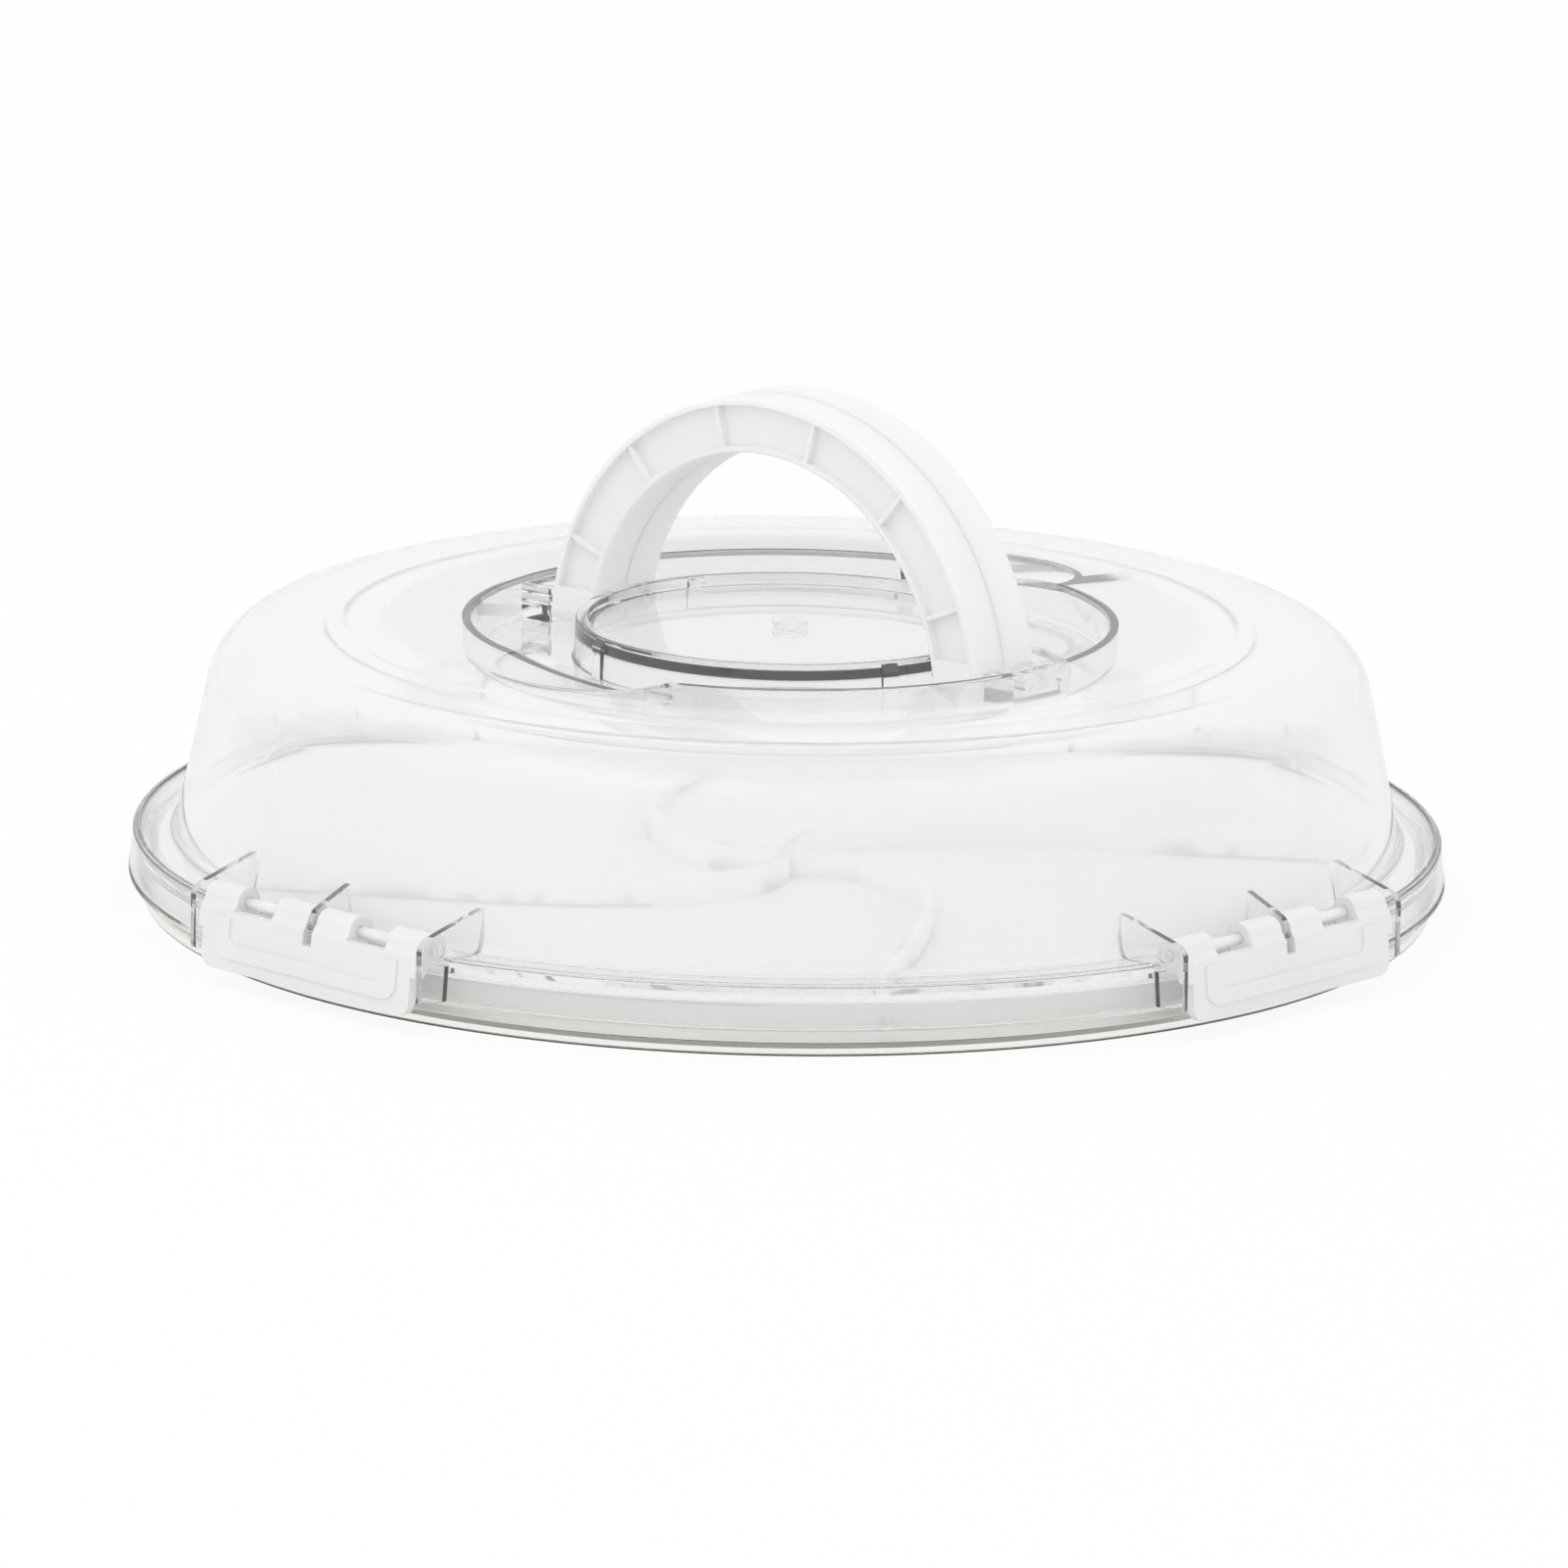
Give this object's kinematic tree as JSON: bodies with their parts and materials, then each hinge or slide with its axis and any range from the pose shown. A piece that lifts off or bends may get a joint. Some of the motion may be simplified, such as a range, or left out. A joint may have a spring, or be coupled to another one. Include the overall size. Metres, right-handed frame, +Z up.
{
  "type": "covered compartment tray",
  "caption": "Round divided food tray in a shallow base, under a clear dome cover held by side snap latches, with a folding arched carrying handle.",
  "frame": {"origin": "middle of the base's underside, on the table", "axes": "+Z up; -Y towards the viewer of the picture; the latches lie between the X and Y axes"},
  "size_m": [0.3322, 0.3322, 0.1287],
  "materials": {
    "clear_base": "clear, polished",
    "clear_cover": "clear, polished",
    "clear_rod": "clear, polished",
    "white_insert": "semi-gloss white",
    "white_latch": "semi-gloss white",
    "white_handle": "satin white, slightly see-through",
    "white_pin": "satin"
  },
  "bodies": {
    "base": {"base_tray": "clear_base"},
    "insert": {"divided_insert": "white_insert"},
    "cover": {"cover": "clear_cover", "latch_rod_front_left": "clear_rod", "latch_rod_front_right": "clear_rod", "latch_rod_rear_left": "clear_rod", "latch_rod_rear_right": "clear_rod", "handle_pin_front_left": "white_pin", "handle_pin_front_right": "white_pin", "handle_pin_rear_left": "white_pin", "handle_pin_rear_right": "white_pin"},
    "latch_front_left": {"latch_front_left": "white_latch"},
    "latch_front_right": {"latch_front_right": "white_latch"},
    "latch_rear_left": {"latch_rear_left": "white_latch"},
    "latch_rear_right": {"latch_rear_right": "white_latch"},
    "handle_front": {"handle_front": "white_handle"},
    "handle_rear": {"handle_rear": "white_handle"}
  },
  "joints": [
    {"name": "cover_lift", "type": "slide", "parent": "base", "child": "cover", "axis": [0, 0, 1], "range_m": [0, 0.024]},
    {"name": "insert_lift", "type": "slide", "parent": "base", "child": "insert", "axis": [0, 0, 1], "range_m": [0, 0.012]},
    {"name": "latch_front_left_swing", "type": "hinge", "parent": "cover", "child": "latch_front_left", "pos_m": [-0.11533, -0.11533, 0.0206], "axis": [-0.7071, 0.7071, 0], "range_deg": [0, 120]},
    {"name": "latch_front_right_swing", "type": "hinge", "parent": "cover", "child": "latch_front_right", "pos_m": [0.11533, -0.11533, 0.0206], "axis": [-0.7071, -0.7071, 0], "range_deg": [0, 120]},
    {"name": "latch_rear_left_swing", "type": "hinge", "parent": "cover", "child": "latch_rear_left", "pos_m": [-0.11533, 0.11533, 0.0206], "axis": [0.7071, 0.7071, 0], "range_deg": [0, 120]},
    {"name": "latch_rear_right_swing", "type": "hinge", "parent": "cover", "child": "latch_rear_right", "pos_m": [0.11533, 0.11533, 0.0206], "axis": [0.7071, -0.7071, 0], "range_deg": [0, 120]},
    {"name": "handle_front_fold", "type": "hinge", "parent": "cover", "child": "handle_front", "pos_m": [-0.00472, -0.00543, 0.0664], "axis": [0.7547, -0.6561, 0], "range_deg": [0, 90]},
    {"name": "handle_rear_fold", "type": "hinge", "parent": "cover", "child": "handle_rear", "pos_m": [0.00472, 0.00543, 0.0664], "axis": [-0.7547, 0.6561, 0], "range_deg": [0, 90]}
  ],
  "couplings": [
    {"joint": "insert_lift", "follows": "cover_lift", "ratio": 0.5},
    {"joint": "latch_front_left_swing", "follows": "cover_lift", "rad_per_m": 87.26},
    {"joint": "latch_front_right_swing", "follows": "cover_lift", "rad_per_m": 87.26},
    {"joint": "latch_rear_left_swing", "follows": "cover_lift", "rad_per_m": 87.26},
    {"joint": "latch_rear_right_swing", "follows": "cover_lift", "rad_per_m": 87.26}
  ]
}
